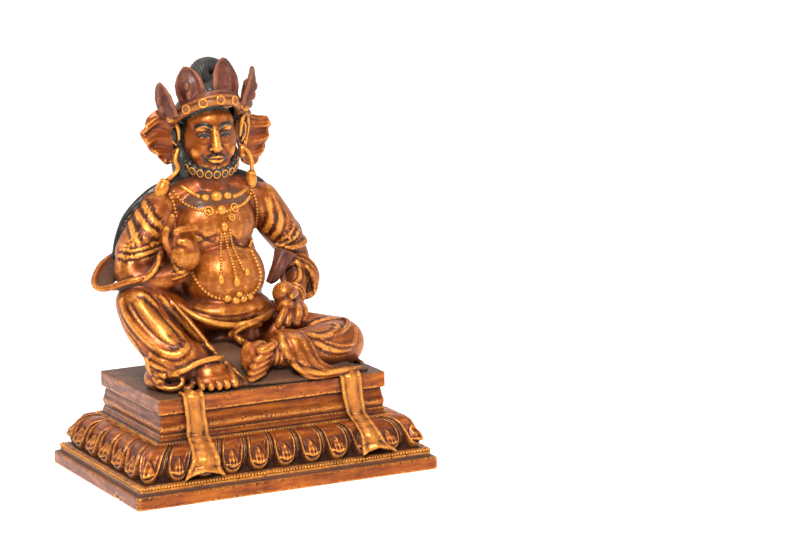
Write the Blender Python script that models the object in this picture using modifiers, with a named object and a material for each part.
# Seated Jambhala statue on a rectangular lotus plinth.
# Metres, +Z up, the figure faces -Y. Origin at the centre of the plinth's underside.
import math

import bpy
import bmesh
import numpy as np
from mathutils import Euler, Vector

MM = 0.001

# Plinth sizes
SLAB_X = 170.0 * MM
SLAB_Y = 115.6 * MM
SLAB_H = 6.9 * MM
SLAB_ROUND = 1.2 * MM
STEP_H = 1.9 * MM
BEAD_R = 1.15 * MM
LOWER_BEAD_INSET = 3.15 * MM
LOWER_BEAD_Z = 10.1 * MM
PETAL_INSET = 6.0 * MM
PETAL_FOOT_IN = 4.0 * MM
PETAL_FOOT_UP = 1.2 * MM
PETAL_Z0 = 10.9 * MM
PETAL_Z1 = 28.0 * MM
BLOCK_X = 128.14 * MM
BLOCK_Y = 78.9 * MM
UPPER_BEAD_OUT = 1.85 * MM
UPPER_BEAD_Z = 28.2 * MM
BLOCK_FOOT_Z = 30.4 * MM
BLOCK_NECK_Z = 42.8 * MM
BLOCK_TOP_Z = 51.16 * MM
BLOCK_NECK_INSET = 1.7 * MM
PETALS_FRONT = 9
PETALS_SIDE = 5
PETAL_STEPS = 8
PETAL_ROWS = 6
PETAL_GROOVE = 2.3 * MM
PETAL_BUD = 2.4 * MM
PETAL_CORNER_TRIM = 3.2 * MM

# Figure sizes
GAP = 0.3 * MM
SEAT_Z = BLOCK_TOP_Z + GAP
CARVE_STEP = 0.85 * MM
CARVE_SOFTEN = 3
FIGURE_FACES = 5400
CLOTH = 2.6 * MM
RIBBON_THICK = 2.0 * MM
SPREAD_CLOTH = 3.4 * MM
LEAF_THICK = 2.4 * MM

for ob in list(bpy.data.objects):
    bpy.data.objects.remove(ob, do_unlink=True)


def new_collection(name):
    coll = bpy.data.collections.new(name)
    bpy.context.scene.collection.children.link(coll)
    return coll


PARTS = new_collection("jambhala_statue")
CUTTERS = new_collection("cutters")


def material(name, color, rough, metal):
    mat = bpy.data.materials.new(name)
    mat.use_nodes = True
    node = mat.node_tree.nodes["Principled BSDF"]
    node.inputs["Base Color"].default_value = (*color, 1.0)
    node.inputs["Roughness"].default_value = rough
    node.inputs["Metallic"].default_value = metal
    mat.diffuse_color = (*color, 1.0)
    return mat


def add_object(name, bm, mat, coll):
    mesh = bpy.data.meshes.new(name)
    bm.normal_update()
    bm.to_mesh(mesh)
    bm.free()
    ob = bpy.data.objects.new(name, mesh)
    coll.objects.link(ob)
    if mat:
        mesh.materials.append(mat)
    return ob


def mm(p):
    return Vector((p[0] * MM, p[1] * MM, p[2] * MM))


# Masses of the figure, all coordinates in millimetres

class Mass:
    def __init__(self):
        self.verts = []
        self.faces = []
        self.count = 0

    def add(self, verts, faces):
        self.verts.append(np.asarray(verts, float))
        self.faces.extend([tuple(i + self.count for i in f) for f in faces])
        self.count += len(verts)


SPHERES = {}


def unit_sphere(seg):
    if seg not in SPHERES:
        bm = bmesh.new()
        bmesh.ops.create_uvsphere(bm, u_segments=seg, v_segments=seg * 2 // 3, radius=1.0)
        co = np.array([v.co for v in bm.verts])
        SPHERES[seg] = (co, [tuple(v.index for v in f.verts) for f in bm.faces])
        bm.free()
    return SPHERES[seg]


def ball(bm, c, r, rot=(0, 0, 0), seg=20):
    co, faces = unit_sphere(seg)
    turn = np.array(Euler([math.radians(a) for a in rot]).to_matrix())
    bm.add(((co * np.array(r)) @ turn.T + np.array(c)) * MM, faces)


def smooth_path(pts, per=5, closed=False):
    p = np.array(pts, float)
    n = len(p)
    if n < 3:
        t = np.linspace(0, 1, per + 1)[:, None]
        return p[0] * (1 - t) + p[-1] * t
    out = []
    last = n if closed else n - 1
    for i in range(last):
        a = p[(i - 1) % n] if closed or i > 0 else 2 * p[0] - p[1]
        b = p[i]
        c = p[(i + 1) % n]
        d = p[(i + 2) % n] if closed or i + 2 < n else 2 * p[-1] - p[-2]
        for k in range(per):
            t = k / per
            out.append(0.5 * (2 * b + (c - a) * t + (2 * a - 5 * b + 4 * c - d) * t * t
                              + (3 * b - a - 3 * c + d) * t ** 3))
    if not closed:
        out.append(p[-1])
    return np.array(out)


def tube(bm, pts, per=5, seg=14, closed=False):
    path = smooth_path(pts, per, closed)
    curve = bpy.data.curves.new("limb", "CURVE")
    curve.dimensions = "3D"
    curve.bevel_depth = 1.0
    curve.bevel_resolution = max(1, seg // 4 - 1)
    curve.use_fill_caps = True
    line = curve.splines.new("POLY")
    line.points.add(len(path) - 1)
    line.use_cyclic_u = closed
    for pt, q in zip(line.points, path):
        pt.co = (q[0] * MM, q[1] * MM, q[2] * MM, 1.0)
        pt.radius = q[3] * MM
    ob = bpy.data.objects.new("limb", curve)
    PARTS.objects.link(ob)
    mesh = bpy.data.meshes.new_from_object(ob.evaluated_get(bpy.context.evaluated_depsgraph_get()))
    bm.add([v.co for v in mesh.vertices], [tuple(f.vertices) for f in mesh.polygons])
    bpy.data.objects.remove(ob, do_unlink=True)
    bpy.data.curves.remove(curve)
    bpy.data.meshes.remove(mesh)
    if not closed:
        for q in (path[0], path[-1]):
            ball(bm, q[:3], (q[3], q[3], q[3]), seg=seg)


def cloth(bm, grid, thick):
    g = np.array(grid, float)
    n, m = g.shape[:2]
    du = np.gradient(g, axis=0)
    dv = np.gradient(g, axis=1)
    nor = np.cross(du, dv)
    nor /= np.linalg.norm(nor, axis=2, keepdims=True) + 1e-9
    th = np.asarray(thick, float) / MM / 2.0
    if th.ndim == 2:
        th = th[:, :, None]
    top = (g + nor * th).reshape(-1, 3)
    low = (g - nor * th).reshape(-1, 3)
    k = n * m
    faces = []
    for i in range(n - 1):
        for j in range(m - 1):
            q = i * m + j
            faces.append((q, q + m, q + m + 1, q + 1))
            faces.append((k + q, k + q + 1, k + q + m + 1, k + q + m))
    for i in range(n - 1):
        q = i * m
        faces.append((q, k + q, k + q + m, q + m))
        q = i * m + m - 1
        faces.append((q, q + m, k + q + m, k + q))
    for j in range(m - 1):
        faces.append((j, j + 1, k + j + 1, k + j))
        q = (n - 1) * m + j
        faces.append((q, k + q, k + q + 1, q + 1))
    bm.add(np.vstack([top, low]) * MM, faces)


def loft_rows(rows, per=4, across=4):
    fine = [smooth_path(r, across) for r in rows]
    cols = [smooth_path([f[j] for f in fine], per) for j in range(len(fine[0]))]
    return np.array(cols).transpose(1, 0, 2)


def ripple(grid, amp, waves, along=1, start=0.0, grow=True):
    g = grid.copy()
    n, m = g.shape[:2]
    for i in range(n):
        for j in range(m):
            a, b = (i / (n - 1), j / (m - 1))
            f = a if along == 0 else b
            w = (b if along == 0 else a) if grow else 1.0
            g[i, j, 1] += amp * w * math.sin(2 * math.pi * (waves * f + start))
    return g


def torso(bm):
    ball(bm, (-3, 20, 66), (27, 23, 19))
    ball(bm, (-4, 20, 96), (23, 21, 40))
    ball(bm, (-6, 11, 101), (23.5, 22.5, 21), seg=28)
    ball(bm, (-9, 15, 128), (24, 17, 19), seg=28)
    ball(bm, (-19, 4, 130), (10, 6, 8))
    ball(bm, (2, 5, 130), (10, 6, 8))
    ball(bm, (-7, 7, 84), (27, 20, 11))
    ball(bm, (-10, -8, 60), (24, 20, 13))
    tube(bm, [(-38, 21, 137, 9.5), (-24, 19, 143, 8.5), (-8, 18, 147, 9), (8, 20, 143, 8.5), (23, 23,
                                                                                              136, 9.5)])
    tube(bm, [(-9, 17, 140, 11), (-8.5, 18, 160, 10)])


def cape(bm):
    rows = [[(-22, 20, 152), (-16, 30, 153), (-7, 33, 154), (3, 30, 152), (11, 22, 150)],
            [(-38, 24, 146), (-27, 36, 146), (-7, 40, 146), (15, 36, 143), (29, 27, 141)],
            [(-52, 24, 136), (-34, 38, 135), (-7, 42, 134), (24, 39, 131), (41, 32, 129)],
            [(-57.5, 25, 125), (-38, 40, 123), (-6, 43, 122), (30, 41, 120), (48, 34, 119)],
            [(-60.5, 24, 116), (-44, 34, 117), (-6, 43, 112), (32, 37, 120), (50, 35, 111)]]
    cloth(bm, loft_rows(rows, 3, 5), CLOTH)
    rows = [[(-30, 34, 120), (-18, 39, 120), (-5, 42, 120), (10, 40, 120), (22, 34, 120)],
            [(-28, 32, 100), (-18, 38, 100), (-4, 41, 100), (12, 39, 100), (24, 31, 100)],
            [(-28, 30, 82), (-17, 38, 82), (-3, 41, 82), (13, 39, 82), (26, 30, 82)],
            [(-29, 28, 66), (-17, 37, 66), (-2, 40, 66), (14, 38, 66), (26, 29, 66)],
            [(-30, 26, 50), (-18, 34.5, 50), (-2, 37.5, 50), (15, 35.5, 50), (27, 27, 50)]]
    g = ripple(loft_rows(rows, 3, 6), 1.2, 7)
    cloth(bm, g, CLOTH)
    tube(bm, [(-60, 23, 115, 2.0), (-58, 23, 125, 1.8), (-52.5, 23, 136, 1.8), (-40, 22, 147, 1.8),
              (-27, 20, 152, 2.0), (-18, 24, 155, 2.4), (-7, 28, 156, 2.6), (4, 25, 154, 2.4),
              (16, 22, 150, 2.0), (25, 24, 145, 1.8), (35, 28, 134, 1.8), (44, 32, 124, 1.8),
              (50, 35, 117, 2.0), (52.5, 36, 110, 1.8)])
    tube(bm, [(44, 33, 113, 2.2), (45, 36, 110, 3.0), (45, 37, 105.5, 2.8), (44, 35, 102.5, 1.6)])


def right_arm(bm):
    tube(bm, [(-38, 19, 137, 10.5), (-46, 16, 127, 11.2), (-54, 12, 117.5, 10.6)])
    tube(bm, [(-62, 15, 117, 1.5), (-58, 5, 116, 1.5), (-52, 2.5, 117, 1.5), (-46, 5, 119.5, 1.3)])
    for s in (0.0, 1.0):
        tube(bm, [(-55 - 2 * s, 12, 138 - 7 * s, 1.0), (-51 - 2 * s, 6, 138 - 6 * s, 1.6),
                  (-44 - 2 * s, 5, 134 - 5 * s, 1.5), (-38, 7, 131 - 5 * s, 0.8)])
    tube(bm, [(-55, 11, 118, 8.5), (-58, 7, 107, 8.5), (-48, 1, 105, 7.0), (-40, -2, 106.5, 5.8),
              (-36, -3, 109, 5.0)])
    rim = [(-58, 26, 115), (-68.5, 22, 111), (-76, 14, 104), (-74, 6, 101.8), (-63.5, -2.5, 106),
           (-55, -5, 108), (-49.5, -5, 112.5), (-44, 1, 118.5), (-45, 12, 119), (-51, 22, 117)]
    tube(bm, [(*p, 1.7) for p in rim], closed=True)
    loop = smooth_path(rim + [rim[0]], 4)
    hub = np.array((-56.5, 8.0, 101.5))
    rows = []
    for t in (1.0, 0.8, 0.6, 0.4):
        ring = hub + (loop - hub) * (0.25 + 0.75 * t)
        ring[:, 2] = hub[2] + (loop[:, 2] - hub[2]) * t ** 1.6 - 1.0 * (1 - t)
        rows.append(ring)
    cloth(bm, rows, CLOTH * 0.8)
    ball(bm, hub, (9, 8, 3))


def right_hand(bm):
    tube(bm, [(-37, -3, 107, 5.2), (-35.5, -4, 112, 5.0)])
    ball(bm, (-33.6, -4.5, 117), (7.4, 6.0, 9.6), rot=(0, -22, 0))
    ball(bm, (-38, -3, 123), (4.6, 3.8, 5.0))
    tube(bm, [(-41, -3, 120, 2.0), (-43, -4, 127, 1.7), (-41.8, -5, 132.5, 1.4)])
    tube(bm, [(-39, -3, 124, 2.0), (-40.5, -4, 132, 1.7), (-39, -5, 139, 1.3)])
    tube(bm, [(-36, -1, 124, 2.0), (-37, 0, 132, 1.7), (-37, 1, 138, 1.3)])
    tube(bm, [(-39, -6, 124, 2.0), (-38, -8, 130.5, 1.8), (-28.5, -9, 131, 1.6)])
    tube(bm, [(-31, -7, 121, 2.0), (-33, -9.5, 126, 1.7), (-36, -9.5, 129, 1.4)])
    for s in (0.0, 2.4):
        ring = [(-37 + 5.9 * math.cos(a) + s * 0.25, -3 + 5.9 * math.sin(a),
                 107 + s + 1.6 * math.cos(a), 1.0)
                for a in np.linspace(0, 2 * math.pi, 9)[:-1]]
        tube(bm, ring, per=2, seg=8, closed=True)


def left_arm(bm):
    tube(bm, [(23, 22, 136, 10.2), (31.5, 24, 124, 10.4), (39.5, 26, 113.5, 9.3)])
    for s in (0.0, 1.0):
        tube(bm, [(20 + 4 * s, 14, 138 - 5 * s, 0.8), (25 + 4 * s, 12, 132 - 5 * s, 1.5),
                  (33 + 4 * s, 15, 129 - 5 * s, 1.5), (38 + 4 * s, 20, 130 - 6 * s, 1.0)])
    tube(bm, [(30, 19, 112, 1.4), (37, 15, 110.5, 1.5), (46, 18, 112, 1.5), (49, 26, 113.5, 1.4)])
    tube(bm, [(41, 27, 112, 8.0), (44.5, 27, 102, 7.8), (40, 16, 95, 6.8), (34, 5, 89, 5.4),
              (28, -2, 86, 4.8)])
    for s in (0.0, 3.4, 6.8):
        c = Vector((42 - 0.5 * s, 15.5 - 0.75 * s, 97 - 0.45 * s))
        ring = [(c.x + 8.2 * math.cos(a), c.y + 3.0 * math.sin(a) - 2.6 * math.cos(a),
                 c.z + 8.4 * math.sin(a) - 2.0 * math.cos(a), 1.9)
                for a in np.linspace(0, 2 * math.pi, 11)[:-1]]
        tube(bm, ring, per=2, seg=8, closed=True)
    rows = [[(27, 17, 111), (33, 12, 110), (40, 12, 107)],
            [(22.5, 13, 103), (28, 9, 102), (35, 9, 99)],
            [(20.5, 12, 96), (24, 9, 95), (29, 9, 93)]]
    cloth(bm, loft_rows(rows, 3, 3), CLOTH)
    rows = [[(43, 25, 101), (48, 23, 100)], [(45, 20, 92), (50.5, 19, 91)], [(47, 17.5, 83), (50.5,
                                                                                              16.5, 82.5)]]
    cloth(bm, loft_rows(rows, 3, 4), CLOTH * 1.2)
    for s in (0.0, 2.2):
        c = (32.5 - s * 0.9, 3.0 - s * 1.0, 88.0 - s * 0.4)
        ring = [(c[0] + 4.2 * math.cos(a), c[1] - 3.6 * math.cos(a), c[2] + 5.8 * math.sin(a), 0.95)
                for a in np.linspace(0, 2 * math.pi, 9)[:-1]]
        tube(bm, ring, per=2, seg=8, closed=True)


def left_hand(bm):
    ball(bm, (23.5, -7, 84), (7.0, 8.0, 4.6))
    ball(bm, (22.5, -5, 91), (6.0, 6.0, 6.0))
    tube(bm, [(28, -3, 89, 2.6), (27, -9, 91.5, 2.2), (22.5, -15, 91, 1.7)])
    for k, (x0, x1) in enumerate(((28, 26), (24.5, 22), (21, 17.5), (18, 13))):
        drop = 0.7 * k
        tube(bm, [(x0, -11, 83 - drop, 2.5), (x1, -17, 79.5 - drop, 2.2), (x1 - 1.5, -20.5,
                                                                           80.5 - drop, 2.0),
                  (x1 - 1.2, -20.5, 84 - drop, 1.6)])
    ball(bm, (20, -14, 86), (4.5, 3.5, 4.0))


def right_leg(bm):
    tube(bm, [(-16, 16, 68, 15), (-33, 9, 80, 13.0), (-48, 4, 90.5, 11.5), (-56.5, 3, 93, 11.3)])
    tube(bm, [(-57, 3, 93, 11.3), (-55.5, -4, 83, 11.5), (-49.5, -13, 73, 12), (-44, -19, 66, 12)], seg=20)
    ball(bm, (-43, -18, 64), (19.5, 12, 13), rot=(0, 12, 0))
    ball(bm, (-48, -14, 56), (13, 11, 9))
    tube(bm, [(-62, -3, 98, 1.0), (-58, -10, 90, 1.5), (-51, -19, 79, 1.6), (-45, -26.5, 71, 1.8),
              (-42, -26, 74, 1.6), (-46, -15, 84, 1.4), (-50, -6, 95, 1.0)])
    tube(bm, [(-45, 0, 99, 0.8), (-39, -8, 90, 1.3), (-33, -17, 80, 1.4), (-26, -25, 68, 1.2)])
    tube(bm, [(-58, -24, 60, 1.4), (-50, -30, 61.5, 1.6), (-40, -32, 65.5, 1.5), (-30, -32, 67.5, 1.4),
              (-24, -29, 67, 1.2)])
    for pts in ([(-57, -20, 60, 2.2), (-57, -24, 56, 2.4), (-53, -28, 53.5, 2.4), (-48, -29, 55, 2.2),
                 (-46, -28, 59, 1.8)],
                [(-50, -26, 54, 2.2), (-44, -31, 53.2, 2.0), (-41, -30, 56, 1.6)],
                [(-20, -24, 62, 1.8), (-15, -27, 56, 2.0), (-14, -32, 53.4, 2.2), (-20, -36, 52.8, 1.6)],
                [(-12, -20, 58, 2.4), (-9, -27, 54, 2.4), (-11, -34, 53, 2.0)]):
        tube(bm, pts, seg=10)


def right_foot(bm):
    ball(bm, (-31, -27, 59), (10, 9, 7.5))
    ball(bm, (-30, -33, 56), (11, 5.5, 4.6))
    for x, y, r in ((-39, -36, 1.9), (-34.6, -37.2, 2.1), (-30.2, -37.6, 2.2), (-25.8, -37.4, 2.3),
                    (-21, -36, 2.6)):
        tube(bm, [(x + 0.4, y + 4, 56.6, r), (x, y, 54.6, r), (x, y - 0.6, 53.6, r * 0.8)], per=3, seg=10)


def left_leg(bm):
    tube(bm, [(14, 16, 66, 15), (34, 2, 66, 13), (47, -11, 64.5, 12.8), (50, -15, 63.8, 12.6)], seg=20)
    tube(bm, [(50, -16, 63.8, 12.4), (36, -23, 65, 11.6), (20, -27.5, 66, 10.2), (9, -30, 67, 8.4)], seg=20)
    tube(bm, [(10, -30, 67, 5.6), (2, -32.5, 67, 5.0)])
    ball(bm, (-5, -33, 65.5), (8.5, 5.5, 9.2), rot=(0, 0, 20))
    ball(bm, (-10.5, -32, 66), (4.5, 4.5, 8.5))
    for x, y, z, r in ((-5.5, -38, 70.5, 2.7), (-8, -38.4, 66.2, 2.2), (-9.6, -38.2, 62.8, 2.1),
                       (-10.6, -37.6, 59.4, 2.0), (-11, -36.5, 56, 1.9)):
        tube(bm, [(x + 1.5, y + 4.5, z, r), (x, y, z, r)], per=2, seg=10)
    for s in (0.0, 2.6):
        ring = [(3.2 + s, -32 + 5.4 * math.cos(a), 67 + 6.2 * math.sin(a), 1.0)
                for a in np.linspace(0, 2 * math.pi, 9)[:-1]]
        tube(bm, ring, per=2, seg=8, closed=True)
    for pts in ([(8, -24, 76, 1.2), (9, -33, 74, 1.8), (10.5, -38.5, 66, 1.8), (14, -40, 58, 1.8), (22,
                                                                                                    -41, 53.6, 1.8),
                 (38, -39.5, 53.4, 1.6)],
                [(20, -30, 75.5, 1.0), (22, -37, 70, 1.5), (26, -39, 61, 1.5), (34, -38, 56, 1.2)],
                [(38, -32, 71, 1.0), (48, -27, 74, 1.5), (52, -20, 76, 1.3), (50, -12, 76.5, 0.8)],
                [(30, -34, 71, 1.0), (40, -33, 66.5, 1.4), (50, -30, 66, 1.3), (55, -24, 72, 1.0)]):
        tube(bm, pts, seg=10)


def skirt(bm):
    tube(bm, [(-40, 4, 96, 1.4), (-33, -6, 88, 1.7), (-23, -13, 82, 1.8), (-11, -15.5, 79.3, 1.8),
              (1, -14, 79.3, 1.8), (13, -8, 81.5, 1.6), (20, 4, 85, 1.4)])
    tube(bm, [(-12, -15, 75, 2.2), (-8, -18, 79, 2.4), (-2, -17, 79, 2.4), (4, -13, 78, 2.0)])
    tube(bm, [(-11, -16, 75, 1.8), (-9, -19, 72, 1.8), (-5, -18, 70, 1.4)])
    spread = [[(-16, -8, 60), (-2, -14, 64), (14, -16, 62), (30, -10, 58)],
              [(-22, -22, 55), (-4, -26, 57), (16, -28, 56), (44, -24, 55), ],
              [(-24, -30, 52.6), (-6, -34, 53), (16, -36.5, 53), (54, -30, 52.6)],
              [(-22, -34, 51.6), (-4, -37.2, 51.6), (18, -38.6, 51.6), (57, -34, 51.6)]]
    cloth(bm, loft_rows(spread, 4, 4), SPREAD_CLOTH)
    side = [[(30, 16, 60), (44, 4, 56), (58, -14, 56)],
            [(34, 24, 53), (50, 8, 53), (60, -16, 53)],
            [(37, 28, 51.4), (54, 10, 51.4), (62, -18, 51.4)]]
    cloth(bm, loft_rows(side, 3, 5), CLOTH)


def ribbon_drop(z):
    line = cover(GAP + RIBBON_THICK / 2)
    front = SLAB_Y / 2 / MM - RIBBON_THICK / MM / 2 - 0.3
    return -min(front, float(np.interp(z, [q[2] / MM for q in line], [q[1] / MM for q in line])))


def ribbons(bm):
    left = ((51.0, -51.0, -40.0), (42, -50, -39.6), (34, -49.8, -38.4), (29.5, -50.4, -38.2), (26.5,
                                                                                               -51.0, -38.2),
            (23, -52.2, -38.1), (19, -54.0, -38.0), (15.5, -56.0, -37.4), (12.6, -58.0, -36.4))
    right = ((51.0, 37.6, 49.0), (42, 38.6, 49.6), (34, 40.4, 50.6), (29.5, 41.4, 51.4), (26.5, 42.0, 52.0),
             (23, 42.4, 53.2), (19, 42.6, 55.0), (15.5, 42.4, 57.6), (12.6, 42.0, 61.0))
    for side in (left, right):
        z0, a0, b0 = side[0]
        over = SEAT_Z / MM + RIBBON_THICK / MM / 2
        rows = [[(a0, -34, over), ((a0 + b0) / 2, -34, over + 0.4), (b0, -34, over)],
                [(a0, -39.6, over), ((a0 + b0) / 2, -39.9, over + 0.4), (b0, -39.6, over)]]
        for z, a, b in side:
            y = ribbon_drop(z)
            rows.append([(a, y, z), ((a + b) / 2, y - (0.7 if z > 20 else 0.1), z), (b, y, z)])
        g = loft_rows(rows, 2, 3)
        cloth(bm, g, RIBBON_THICK)
        for j in (0, g.shape[1] - 1):
            tube(bm, [(*(g[i, j] + np.array((0, -0.2, 0))), 1.1) for i in range(0, len(g), 2)], per=2,
                 seg=8)


def head(bm):
    skull = Mass()
    ball(skull, (-8, 20, 174), (15.5, 17, 18.5), seg=28)
    ball(skull, (-8.8, 13, 164), (13.2, 11.5, 9.5), seg=24)
    tube(skull, [(-10.6, 3.6, 178, 1.6), (-11, 1.2, 172, 1.9), (-11.2, -0.2, 168.6, 2.1)], seg=10)
    ball(skull, (-8.8, 2.6, 168), (1.6, 1.9, 1.5))
    ball(skull, (-13.4, 2.8, 168), (1.6, 1.9, 1.5))
    for x, y in ((-17, 5.6), (-4, 4.9)):
        ball(skull, (x, y, 174.5), (3.2, 2.0, 1.8))
    tube(skull, [(-21, 7, 177, 0.9), (-17, 4.2, 179, 1.2), (-12.5, 3.6, 177.6, 0.9)], seg=8)
    tube(skull, [(0, 6.2, 177, 0.9), (-4, 3.6, 179, 1.2), (-9, 3.4, 177.6, 0.9)], seg=8)
    tube(skull, [(-16, 3.6, 163.4, 0.9), (-11, 1.6, 164, 1.5), (-6, 3.0, 163.4, 0.9)], seg=8)
    tube(skull, [(-15, 3.6, 161.2, 0.8), (-11, 2.2, 160.8, 1.6), (-7, 3.2, 161.2, 0.8)], seg=8)
    ball(skull, (-10.6, 4.4, 157), (5, 4, 3.5))
    for k in range(15):
        a = math.radians(-205 + k * 205 / 14)
        x = -9 + 15.6 * math.cos(a)
        y = 15 + 13.2 * math.sin(a) * (1.0 if math.sin(a) < 0 else 0.4)
        z = 154.6 + 6.5 * (1 - abs(math.sin(a))) ** 1.2
        ball(skull, (x, y, z), (2.5, 2.5, 2.6), seg=10)
    bm.add(np.vstack(skull.verts) + np.array((0.9, 2.0, 0.0)) * MM, skull.faces)
    for x, s in ((-24.5, -1), (8.5, 1)):
        ball(bm, (x, 20, 176.5), (3.2, 5.0, 8.6), rot=(0, 8 * s, 0))
        ball(bm, (x + 0.4 * s, 18.4, 167.5), (2.4, 3.2, 4.4))
    right_ring = [(-25, 19, 168), (-27, 18, 163), (-26, 17, 158.5), (-29, 17, 155), (-34.5, 16, 152)]
    tube(bm, [(*p, 1.3) for p in right_ring], seg=8)
    ball(bm, (-36, 15.5, 149), (4.0, 3.6, 6.0), rot=(0, 30, 0))
    left_ring = [(9.5, 18, 168), (13, 15, 164), (15, 15, 159), (15, 15, 154)]
    tube(bm, [(*p, 1.3) for p in left_ring], seg=8)
    ball(bm, (14.6, 15.5, 149), (3.6, 3.6, 5.6))


def fans(bm):
    right = [[(-25, 23, 187), (-26, 23, 178), (-26, 23, 168), (-26, 22, 161)],
             [(-31, 24, 189), (-34, 25, 180), (-33, 24, 169), (-29, 23, 160.5)],
             [(-38, 25, 184.5), (-42.5, 25, 176), (-38, 24, 168), (-31, 23, 162)]]
    left = [[(9, 25, 184), (10, 25, 176), (12, 25, 166), (14, 25, 157)],
            [(18, 26, 182), (19, 27, 173), (20, 26.5, 163), (19, 26, 155)],
            [(25, 27, 180), (29, 28.5, 173), (27, 28, 164), (22, 26.5, 156)],
            [(31, 28, 179), (32, 29, 174), (29, 28.5, 166), (23.5, 27, 157.5)]]
    for rows in (right, left):
        cloth(bm, ripple(loft_rows(rows, 4, 4), 1.5, 2.5, along=1), CLOTH)
    tube(bm, [(14, 25, 182, 2.6), (18, 26, 182.5, 2.4)])
    tube(bm, [(-27, 24, 186, 2.6), (-31, 24, 188, 2.6)])


def crown(bm):
    band = []
    for k in range(16):
        a = 2 * math.pi * k / 16
        x = -8.5 + 17.4 * math.cos(a)
        y = 20 + 18.2 * math.sin(a)
        z = 193.5 - 0.6 * (y - 3)
        band.append((x, y, z, 2.4))
    tube(bm, band, per=2, seg=10, closed=True)
    tube(bm, [(x, y, z + 3.0, 1.8) for x, y, z, r in band], per=2, seg=8, closed=True)
    ball(bm, (-8, 20, 184), (16.4, 17.4, 12), rot=(-18, 0, 0))
    leaves = (((-3.2, 6.2, 192), (-1.0, 15.5, 214.5), 6.3), ((-19.0, 9, 191.5), (-21, 16, 211.5), 6.0),
              ((-29.5, 15, 185.5), (-33, 20, 203.5), 5.4), ((8.5, 9.5, 189), (17, 17.5, 208.5), 5.8),
              ((14, 22.5, 183), (19, 30, 200), 5.6))
    for base, tip, w in leaves:
        b = np.array(base, float)
        t = np.array(tip, float)
        up = (t - b) / np.linalg.norm(t - b)
        out = np.array((b[0] + 8.5, b[1] - 20, 0.0))
        out /= np.linalg.norm(out)
        side = np.cross(up, out)
        side /= np.linalg.norm(side)
        out = np.cross(side, up)
        rows = []
        for f, sh in ((0.0, 0.62), (0.2, 0.86), (0.42, 1.0), (0.65, 0.84), (0.85, 0.46), (1.0, 0.08)):
            c = b + (t - b) * f + out * 1.6 * math.sin(math.pi * f)
            rows.append([tuple(c + side * w * sh * q - out * 1.3 * abs(q) ** 2) for q in (-1, -0.5, 0,
                                                                                          0.5, 1)])
        cloth(bm, loft_rows(rows, 2, 2), LEAF_THICK)
        ball(bm, b + np.array((0, 0, 0.5)) + out * 1.2, (2.4, 2.2, 2.4), seg=12)
        ball(bm, b + (t - b) * 0.42 + out * 1.6, (2.6, 2.2, 4.6), seg=12)


def topknot(bm):
    ball(bm, (-5, 28, 194), (11, 11, 9))
    tube(bm, [(-6, 30, 196, 8.0), (-7, 29, 204, 6.6), (-4, 30, 209.4, 5.0), (3, 33, 208, 6.0),
              (7, 34, 203, 7.2), (4, 33, 198, 6.4)])
    ball(bm, (5, 34, 203.5), (8.0, 9.0, 8.0))


def jewellery(bm):
    tube(bm, [(-25, 14, 147, 1.2), (-20, 7, 142.5, 1.7), (-10, 1.6, 139, 2.0), (0, 4, 141.5, 1.7), (7,
                                                                                                    12, 147, 1.2)])
    tube(bm, [(-29, 9, 147, 1.0), (-24, 2, 140, 1.2), (-16, -2.4, 135.8, 1.3), (-10, -3.6, 134.6, 1.3),
              (-3, -2.4, 136.2, 1.3), (6, 3, 141, 1.2), (11, 8, 147, 1.0)], seg=8)
    for p, r in (((-10.2, -4, 135), 2.8), ((-16.4, -2.6, 136), 1.9), ((-3.4, -2.4, 136.8), 1.9),
                 ((-9.4, -4.4, 129), 2.3)):
        ball(bm, p, (r, r * 0.8, r), seg=12)
    tube(bm, [(-10.5, -5.4, 125, 0.9), (-11, -9.4, 114, 0.9), (-12.4, -11.4, 101, 0.9)], seg=8)
    tube(bm, [(-9, -5.4, 125, 0.9), (-7.4, -9.4, 114, 0.9), (-4, -11.8, 101, 0.9)], seg=8)
    tube(bm, [(-6.4, -4.4, 126, 0.9), (-3, -8.6, 113, 0.9), (0.6, -10.6, 103, 0.9)], seg=8)
    ball(bm, (-12.6, -11.2, 99), (1.8, 1.6, 2.6), seg=12)
    ball(bm, (-3.8, -11.8, 98.6), (1.8, 1.6, 2.6), seg=12)
    tube(bm, [(-34, 10, 141, 1.0), (-31, 3, 130, 1.1), (-30.4, 0, 118, 1.2), (-28, -4, 108, 1.3),
              (-24.6, -8, 100, 1.4),
              (-17, -11.4, 93.4, 1.4), (-5.5, -12.4, 90.6, 1.5), (5, -9.6, 94, 1.4), (12.4, -3.6, 101, 1.3),
              (15, 2, 109, 1.2), (14, 3.4, 117, 1.2), (13, 3.6, 128, 1.2), (13.4, 8, 141, 1.1), (12,
                                                                                                 14, 148, 1.0)],
         seg=8)
    for x in (-12, -5.5, 1):
        ball(bm, (x, -12.6, 91.4 - 0.06 * abs(x + 5.5)), (2.6, 2.0, 2.2), seg=12)
    ball(bm, (15, 3, 114), (3.0, 3.0, 3.4), seg=12)
    ball(bm, (14.6, 2.4, 121), (2.2, 2.2, 2.2), seg=12)


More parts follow.
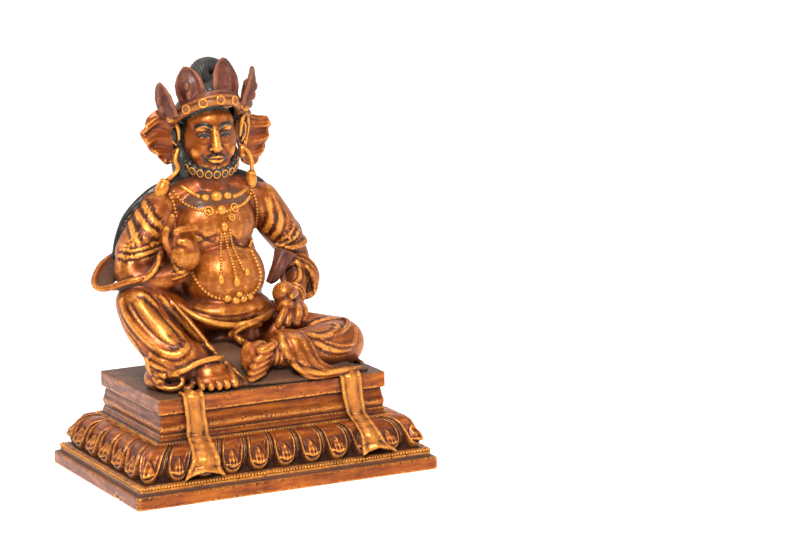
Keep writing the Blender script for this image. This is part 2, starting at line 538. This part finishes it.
def build_figure(mat, make_cutter):
    mass = Mass()
    for form in (torso, cape, right_arm, right_hand, left_arm, left_hand, right_leg, right_foot, left_leg,
                 skirt, ribbons, head, fans, crown, topknot, jewellery):
        form(mass)
    shape = bpy.data.meshes.new("figure")
    shape.from_pydata(np.vstack(mass.verts).tolist(), [], mass.faces)
    bm = bmesh.new()
    bm.from_mesh(shape)
    bpy.data.meshes.remove(shape)
    bmesh.ops.recalc_face_normals(bm, faces=bm.faces)
    ob = add_object("figure", bm, mat, PARTS)
    carve = ob.modifiers.new("carve", "REMESH")
    carve.mode = "VOXEL"
    carve.voxel_size = CARVE_STEP
    soft = ob.modifiers.new("soften", "SMOOTH")
    soft.factor = 0.5
    soft.iterations = CARVE_SOFTEN
    dec = ob.modifiers.new("facets", "DECIMATE")
    dec.ratio = 1.0
    graph = bpy.context.evaluated_depsgraph_get()
    dense = ob.evaluated_get(graph).to_mesh()
    dense.calc_loop_triangles()
    dec.ratio = FIGURE_FACES / len(dense.loop_triangles)
    ob.evaluated_get(graph).to_mesh_clear()
    graph = bpy.context.evaluated_depsgraph_get()
    carved = bpy.data.meshes.new_from_object(ob.evaluated_get(graph))
    bpy.data.objects.remove(ob, do_unlink=True)
    bm = bmesh.new()
    bm.from_mesh(carved)
    bpy.data.meshes.remove(carved)
    drop_fins(bm)
    ob = add_object("figure", bm, mat, PARTS)
    seat = ob.modifiers.new("seat", "BOOLEAN")
    seat.operation = "DIFFERENCE"
    seat.solver = "EXACT"
    seat.object = make_cutter()
    return ob


def drop_fins(bm):
    bmesh.ops.triangulate(bm, faces=bm.faces)
    for _ in range(8):
        seen = {}
        for f in bm.faces:
            seen.setdefault(frozenset(v.index for v in f.verts), []).append(f)
        twice = [f for group in seen.values() if len(group) > 1 for f in group]
        if twice:
            bmesh.ops.delete(bm, geom=twice, context="FACES")
        pinched = [e for e in bm.edges if len(e.link_faces) > 2]
        if pinched:
            bmesh.ops.collapse(bm, edges=pinched)
        bm.verts.index_update()
        if not twice and not pinched:
            break
    loose = [v for v in bm.verts if not v.link_faces]
    bmesh.ops.delete(bm, geom=loose, context="VERTS")


# Plinth

def ring_points(hx, hy, z, r, seg=2):
    pts = []
    for cx, cy, a0 in ((1, -1, -90), (1, 1, 0), (-1, 1, 90), (-1, -1, 180)):
        for k in range(seg + 1):
            a = math.radians(a0 + 90 * k / seg)
            pts.append(Vector((cx * (hx - r) + r * math.cos(a), cy * (hy - r) + r * math.sin(a), z)))
    return pts


def stack(levels, seg=2):
    bm = bmesh.new()
    rings = [[bm.verts.new(p) for p in ring_points(hx, hy, z, r, seg)] for hx, hy, z, r in levels]
    for a, b in zip(rings, rings[1:]):
        n = len(a)
        for i in range(n):
            bm.faces.new((a[i], a[(i + 1) % n], b[(i + 1) % n], b[i]))
    bm.faces.new(list(reversed(rings[0])))
    bm.faces.new(rings[-1])
    return bm


def plinth_levels():
    sx, sy = SLAB_X / 2, SLAB_Y / 2
    bx, by = BLOCK_X / 2, BLOCK_Y / 2
    r = SLAB_ROUND
    lv = [(sx - r * 0.5, sy - r * 0.5, 0.0, r), (sx, sy, r * 0.7, r * 1.6), (sx, sy, SLAB_H - r, r * 1.6),
          (sx - r * 0.3, sy - r * 0.3, SLAB_H - r * 0.3, r * 1.4), (sx - r, sy - r, SLAB_H, r)]
    bl = LOWER_BEAD_INSET
    lv += [(sx - bl + BEAD_R * 0.6, sy - bl + BEAD_R * 0.6, SLAB_H + STEP_H * 0.4, r),
           (sx - bl + BEAD_R * 0.6, sy - bl + BEAD_R * 0.6, LOWER_BEAD_Z - BEAD_R, r)]
    for a in (-60, 0, 60):
        o = BEAD_R * math.cos(math.radians(a))
        lv.append((sx - bl + o, sy - bl + o, LOWER_BEAD_Z + BEAD_R * math.sin(math.radians(a)), r))
    foot = PETAL_INSET + PETAL_FOOT_IN
    lv.append((sx - foot, sy - foot, PETAL_Z0 + PETAL_FOOT_UP, r))
    ub = UPPER_BEAD_OUT
    lv.append((bx + ub - 2 * MM, by + ub - 2 * MM, UPPER_BEAD_Z - 2 * BEAD_R, r))
    for a in (-60, 0, 60):
        o = BEAD_R * math.cos(math.radians(a))
        lv.append((bx + ub + o, by + ub + o, UPPER_BEAD_Z + BEAD_R * math.sin(math.radians(a)), r))
    n = BLOCK_NECK_INSET
    zf, zn, zt = BLOCK_FOOT_Z, BLOCK_NECK_Z, BLOCK_TOP_Z
    lv += [(bx - 0.3 * MM, by - 0.3 * MM, UPPER_BEAD_Z + BEAD_R, r * 0.8),
           (bx - 0.3 * MM, by - 0.3 * MM, zf, r * 0.8),
           (bx - n * 0.5, by - n * 0.5, zf + 0.35 * (zn - zf), r * 0.8),
           (bx - n * 0.2, by - n * 0.2, zf + 0.55 * (zn - zf), r * 0.8),
           (bx - n * 0.35, by - n * 0.35, zf + 0.78 * (zn - zf), r * 0.8),
           (bx - n, by - n, zn - 0.6 * MM, r * 0.8),
           (bx - n * 0.8, by - n * 0.8, zn, r * 0.8),
           (bx, by, zn + 0.5 * MM, r * 0.6),
           (bx, by, zt - 0.6 * MM, r * 0.6),
           (bx - 0.6 * MM, by - 0.6 * MM, zt, r * 0.4)]
    return lv


def petal_profile(v):
    out = math.cos(math.radians(90 * v)) ** 0.72 if v < 1 else 0.0
    tuck = 0.10 * max(0.0, 1 - v / 0.12)
    z = PETAL_Z0 + (PETAL_Z1 - PETAL_Z0) * math.sin(math.radians(90 * v)) ** 0.9
    return out - tuck, z


def petal_relief(u, v):
    edge = math.exp(-((0.5 - abs(u)) / 0.10) ** 2)
    groove = -PETAL_GROOVE * edge * math.sin(math.pi * min(1.0, v + 0.15))
    bud = PETAL_BUD * max(0.0, 1 - (u / 0.24) ** 2 - ((v - 0.36) / 0.24) ** 2)
    rim = 0.5 * MM * math.exp(-((v - 0.05) / 0.10) ** 2) * (1 - edge)
    return groove + bud + rim


def petals():
    sx, sy = SLAB_X / 2 - PETAL_INSET, SLAB_Y / 2 - PETAL_INSET
    tx, ty = BLOCK_X / 2 + UPPER_BEAD_OUT, BLOCK_Y / 2 + UPPER_BEAD_OUT
    walk = []
    corner = 0.07
    for side, count in ((0, PETALS_FRONT), (1, PETALS_SIDE), (2, PETALS_FRONT), (3, PETALS_SIDE)):
        for k in range(count + 1):
            for s in range(PETAL_STEPS):
                u = s / PETAL_STEPS - 0.5
                if k < count:
                    t = corner + (1 - 2 * corner) * (k + u + 0.5) / count
                    walk.append((side, t, u))
                else:
                    walk.append((side, 1 - corner + 2 * corner * (u + 0.5), u))
    bm = bmesh.new()
    rings = []
    for row in range(PETAL_ROWS):
        v = row / (PETAL_ROWS - 1)
        out, z = petal_profile(v)
        hx = tx + (sx - tx) * out
        hy = ty + (sy - ty) * out
        ring = []
        for side, t, u in walk:
            corner_list = ((-1, -1), (1, -1), (1, 1), (-1, 1))
            if t <= 1:
                a, b = corner_list[side], corner_list[(side + 1) % 4]
                q = t
            else:
                a, b = corner_list[(side + 1) % 4], corner_list[(side + 2) % 4]
                q = t - 1
            x = (a[0] + (b[0] - a[0]) * q) * hx
            y = (a[1] + (b[1] - a[1]) * q) * hy
            na = Vector(((b[1] - a[1]) / 2, (a[0] - b[0]) / 2, 0))
            near = max(0.0, 1 - abs(t - 1) / corner) if t > 1 - corner else 0.0
            if t < corner:
                near = 0.0
            diag = Vector((x / hx, y / hy, 0))
            n = na.lerp(diag.normalized(), near)
            lift = 0.45 * math.sin(math.radians(90 * out)) if out > 0 else 0.0
            d = petal_relief(u, v)
            trim = -diag.normalized() * near * PETAL_CORNER_TRIM
            ring.append(bm.verts.new(Vector((x, y, z)) + n * d * (1 - 0.4 * lift) + trim
                                     + Vector((0, 0, d * 0.5 * (1 - out)))))
        rings.append(ring)
    for a, b in zip(rings, rings[1:]):
        n = len(a)
        for i in range(n):
            bm.faces.new((a[i], a[(i + 1) % n], b[(i + 1) % n], b[i]))
    bm.faces.new(list(reversed(rings[0])))
    bm.faces.new(rings[-1])
    bmesh.ops.recalc_face_normals(bm, faces=bm.faces)
    return bm


def build_plinth(mat):
    base = stack(plinth_levels())
    ob = add_object("lotus_plinth", base, mat, PARTS)
    petal_ob = add_object("petal_ring", petals(), None, CUTTERS)
    mod = ob.modifiers.new("petals", "BOOLEAN")
    mod.operation = "UNION"
    mod.solver = "EXACT"
    mod.object = petal_ob
    chips = Mass()
    for y, s in ((-29.5, 1.0), (-35.5, 0.8)):
        ball(chips, (-SLAB_X / 2 / MM, y, 0.2), (2.4 * s, 3.0 * s, 2.6 * s), seg=8)
    shape = bpy.data.meshes.new("slab_chips")
    shape.from_pydata(np.vstack(chips.verts).tolist(), [], chips.faces)
    chip_ob = bpy.data.objects.new("slab_chips", shape)
    CUTTERS.objects.link(chip_ob)
    mod = ob.modifiers.new("chips", "BOOLEAN")
    mod.operation = "DIFFERENCE"
    mod.solver = "EXACT"
    mod.object = chip_ob
    return ob


def cover(grow):
    sx, sy = SLAB_X / 2, SLAB_Y / 2
    bx, by = BLOCK_X / 2, BLOCK_Y / 2
    bl = LOWER_BEAD_INSET - BEAD_R
    lv = [(sx, sy, -SLAB_H), (sx, sy, SLAB_H), (sx - bl, sy - bl, SLAB_H + GAP),
          (sx - bl, sy - bl, LOWER_BEAD_Z + BEAD_R)]
    px, py = sx - PETAL_INSET, sy - PETAL_INSET
    tx, ty = bx + UPPER_BEAD_OUT, by + UPPER_BEAD_OUT
    for k in range(2, 10):
        v = k / 10
        out, z = petal_profile(v)
        rise = petal_relief(0.0, v)
        lift = 0.35 * MM if rise > 0 else 0.0
        lv.append((tx + (px - tx) * out + rise, ty + (py - ty) * out + rise, z + lift))
    lv += [(tx + BEAD_R, ty + BEAD_R, UPPER_BEAD_Z + BEAD_R), (bx, by, BLOCK_FOOT_Z + 0.5 * MM), (bx,
                                                                                                  by, BLOCK_TOP_Z)]
    return [(hx + grow, hy + grow, z + (grow if z > 0 else 0.0), 0.5 * MM) for hx, hy, z in lv]


def seat_cutter():
    return add_object("seat_cutter", stack(cover(GAP), 1), None, CUTTERS)


LACQUER = material("gilt_lacquer", (0.48, 0.17, 0.05), 0.32, 0.35)
LACQUER_BASE = material("gilt_lacquer_plinth", (0.42, 0.14, 0.045), 0.36, 0.3)

figure = build_figure(LACQUER, seat_cutter)
plinth = build_plinth(LACQUER_BASE)

for ob in CUTTERS.objects:
    ob.hide_render = True
    ob.display_type = "WIRE"
